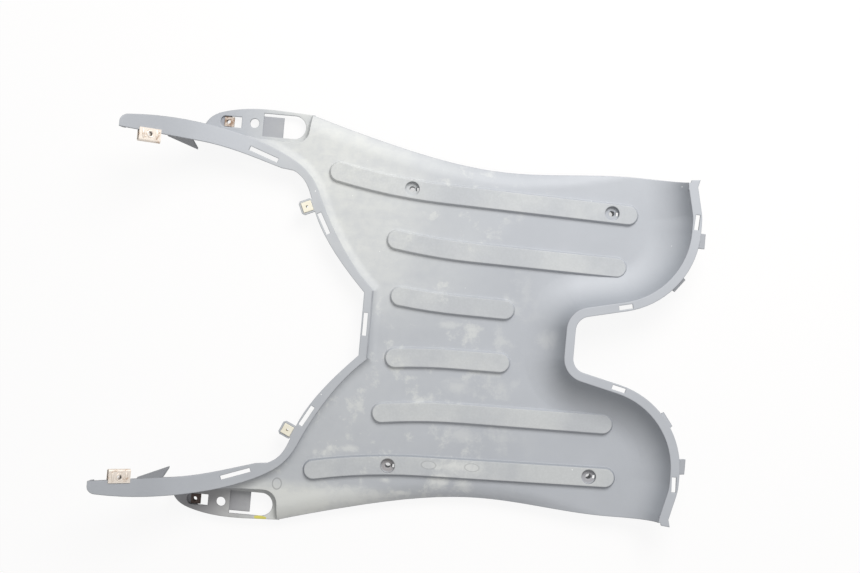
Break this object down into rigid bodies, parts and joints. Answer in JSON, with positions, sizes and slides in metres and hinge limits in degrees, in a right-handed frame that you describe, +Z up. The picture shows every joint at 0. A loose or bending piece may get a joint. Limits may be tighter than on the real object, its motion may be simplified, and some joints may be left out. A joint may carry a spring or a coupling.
{
  "type": "scooter floorboard",
  "caption": "Moulded grey scooter floorboard: long ribbed treads, coved rear end with a notch, front notch with upswept arms, screw seats, flat ears, spring clips.",
  "frame": {"origin": "midway between the front screws, on the plane that the four screw seats stand on", "axes": "+X forward along the board, +Y to the rider's left, +Z up out of the deck"},
  "size_m": [0.6719, 0.4864, 0.1128],
  "materials": {
    "panel_plastic": "moulded satin, scuffed and dusty",
    "clip_steel": "dull zinc plate with rust",
    "grommet_nylon": "natural nylon"
  },
  "bodies": {
    "root": {"floor_panel": "panel_plastic", "arm_clip_left": "clip_steel", "arm_clip_right": "clip_steel", "ear_clip_left": "clip_steel", "ear_clip_right": "clip_steel", "screw_grommet_left": "grommet_nylon", "screw_grommet_right": "grommet_nylon"}
  },
  "joints": []
}
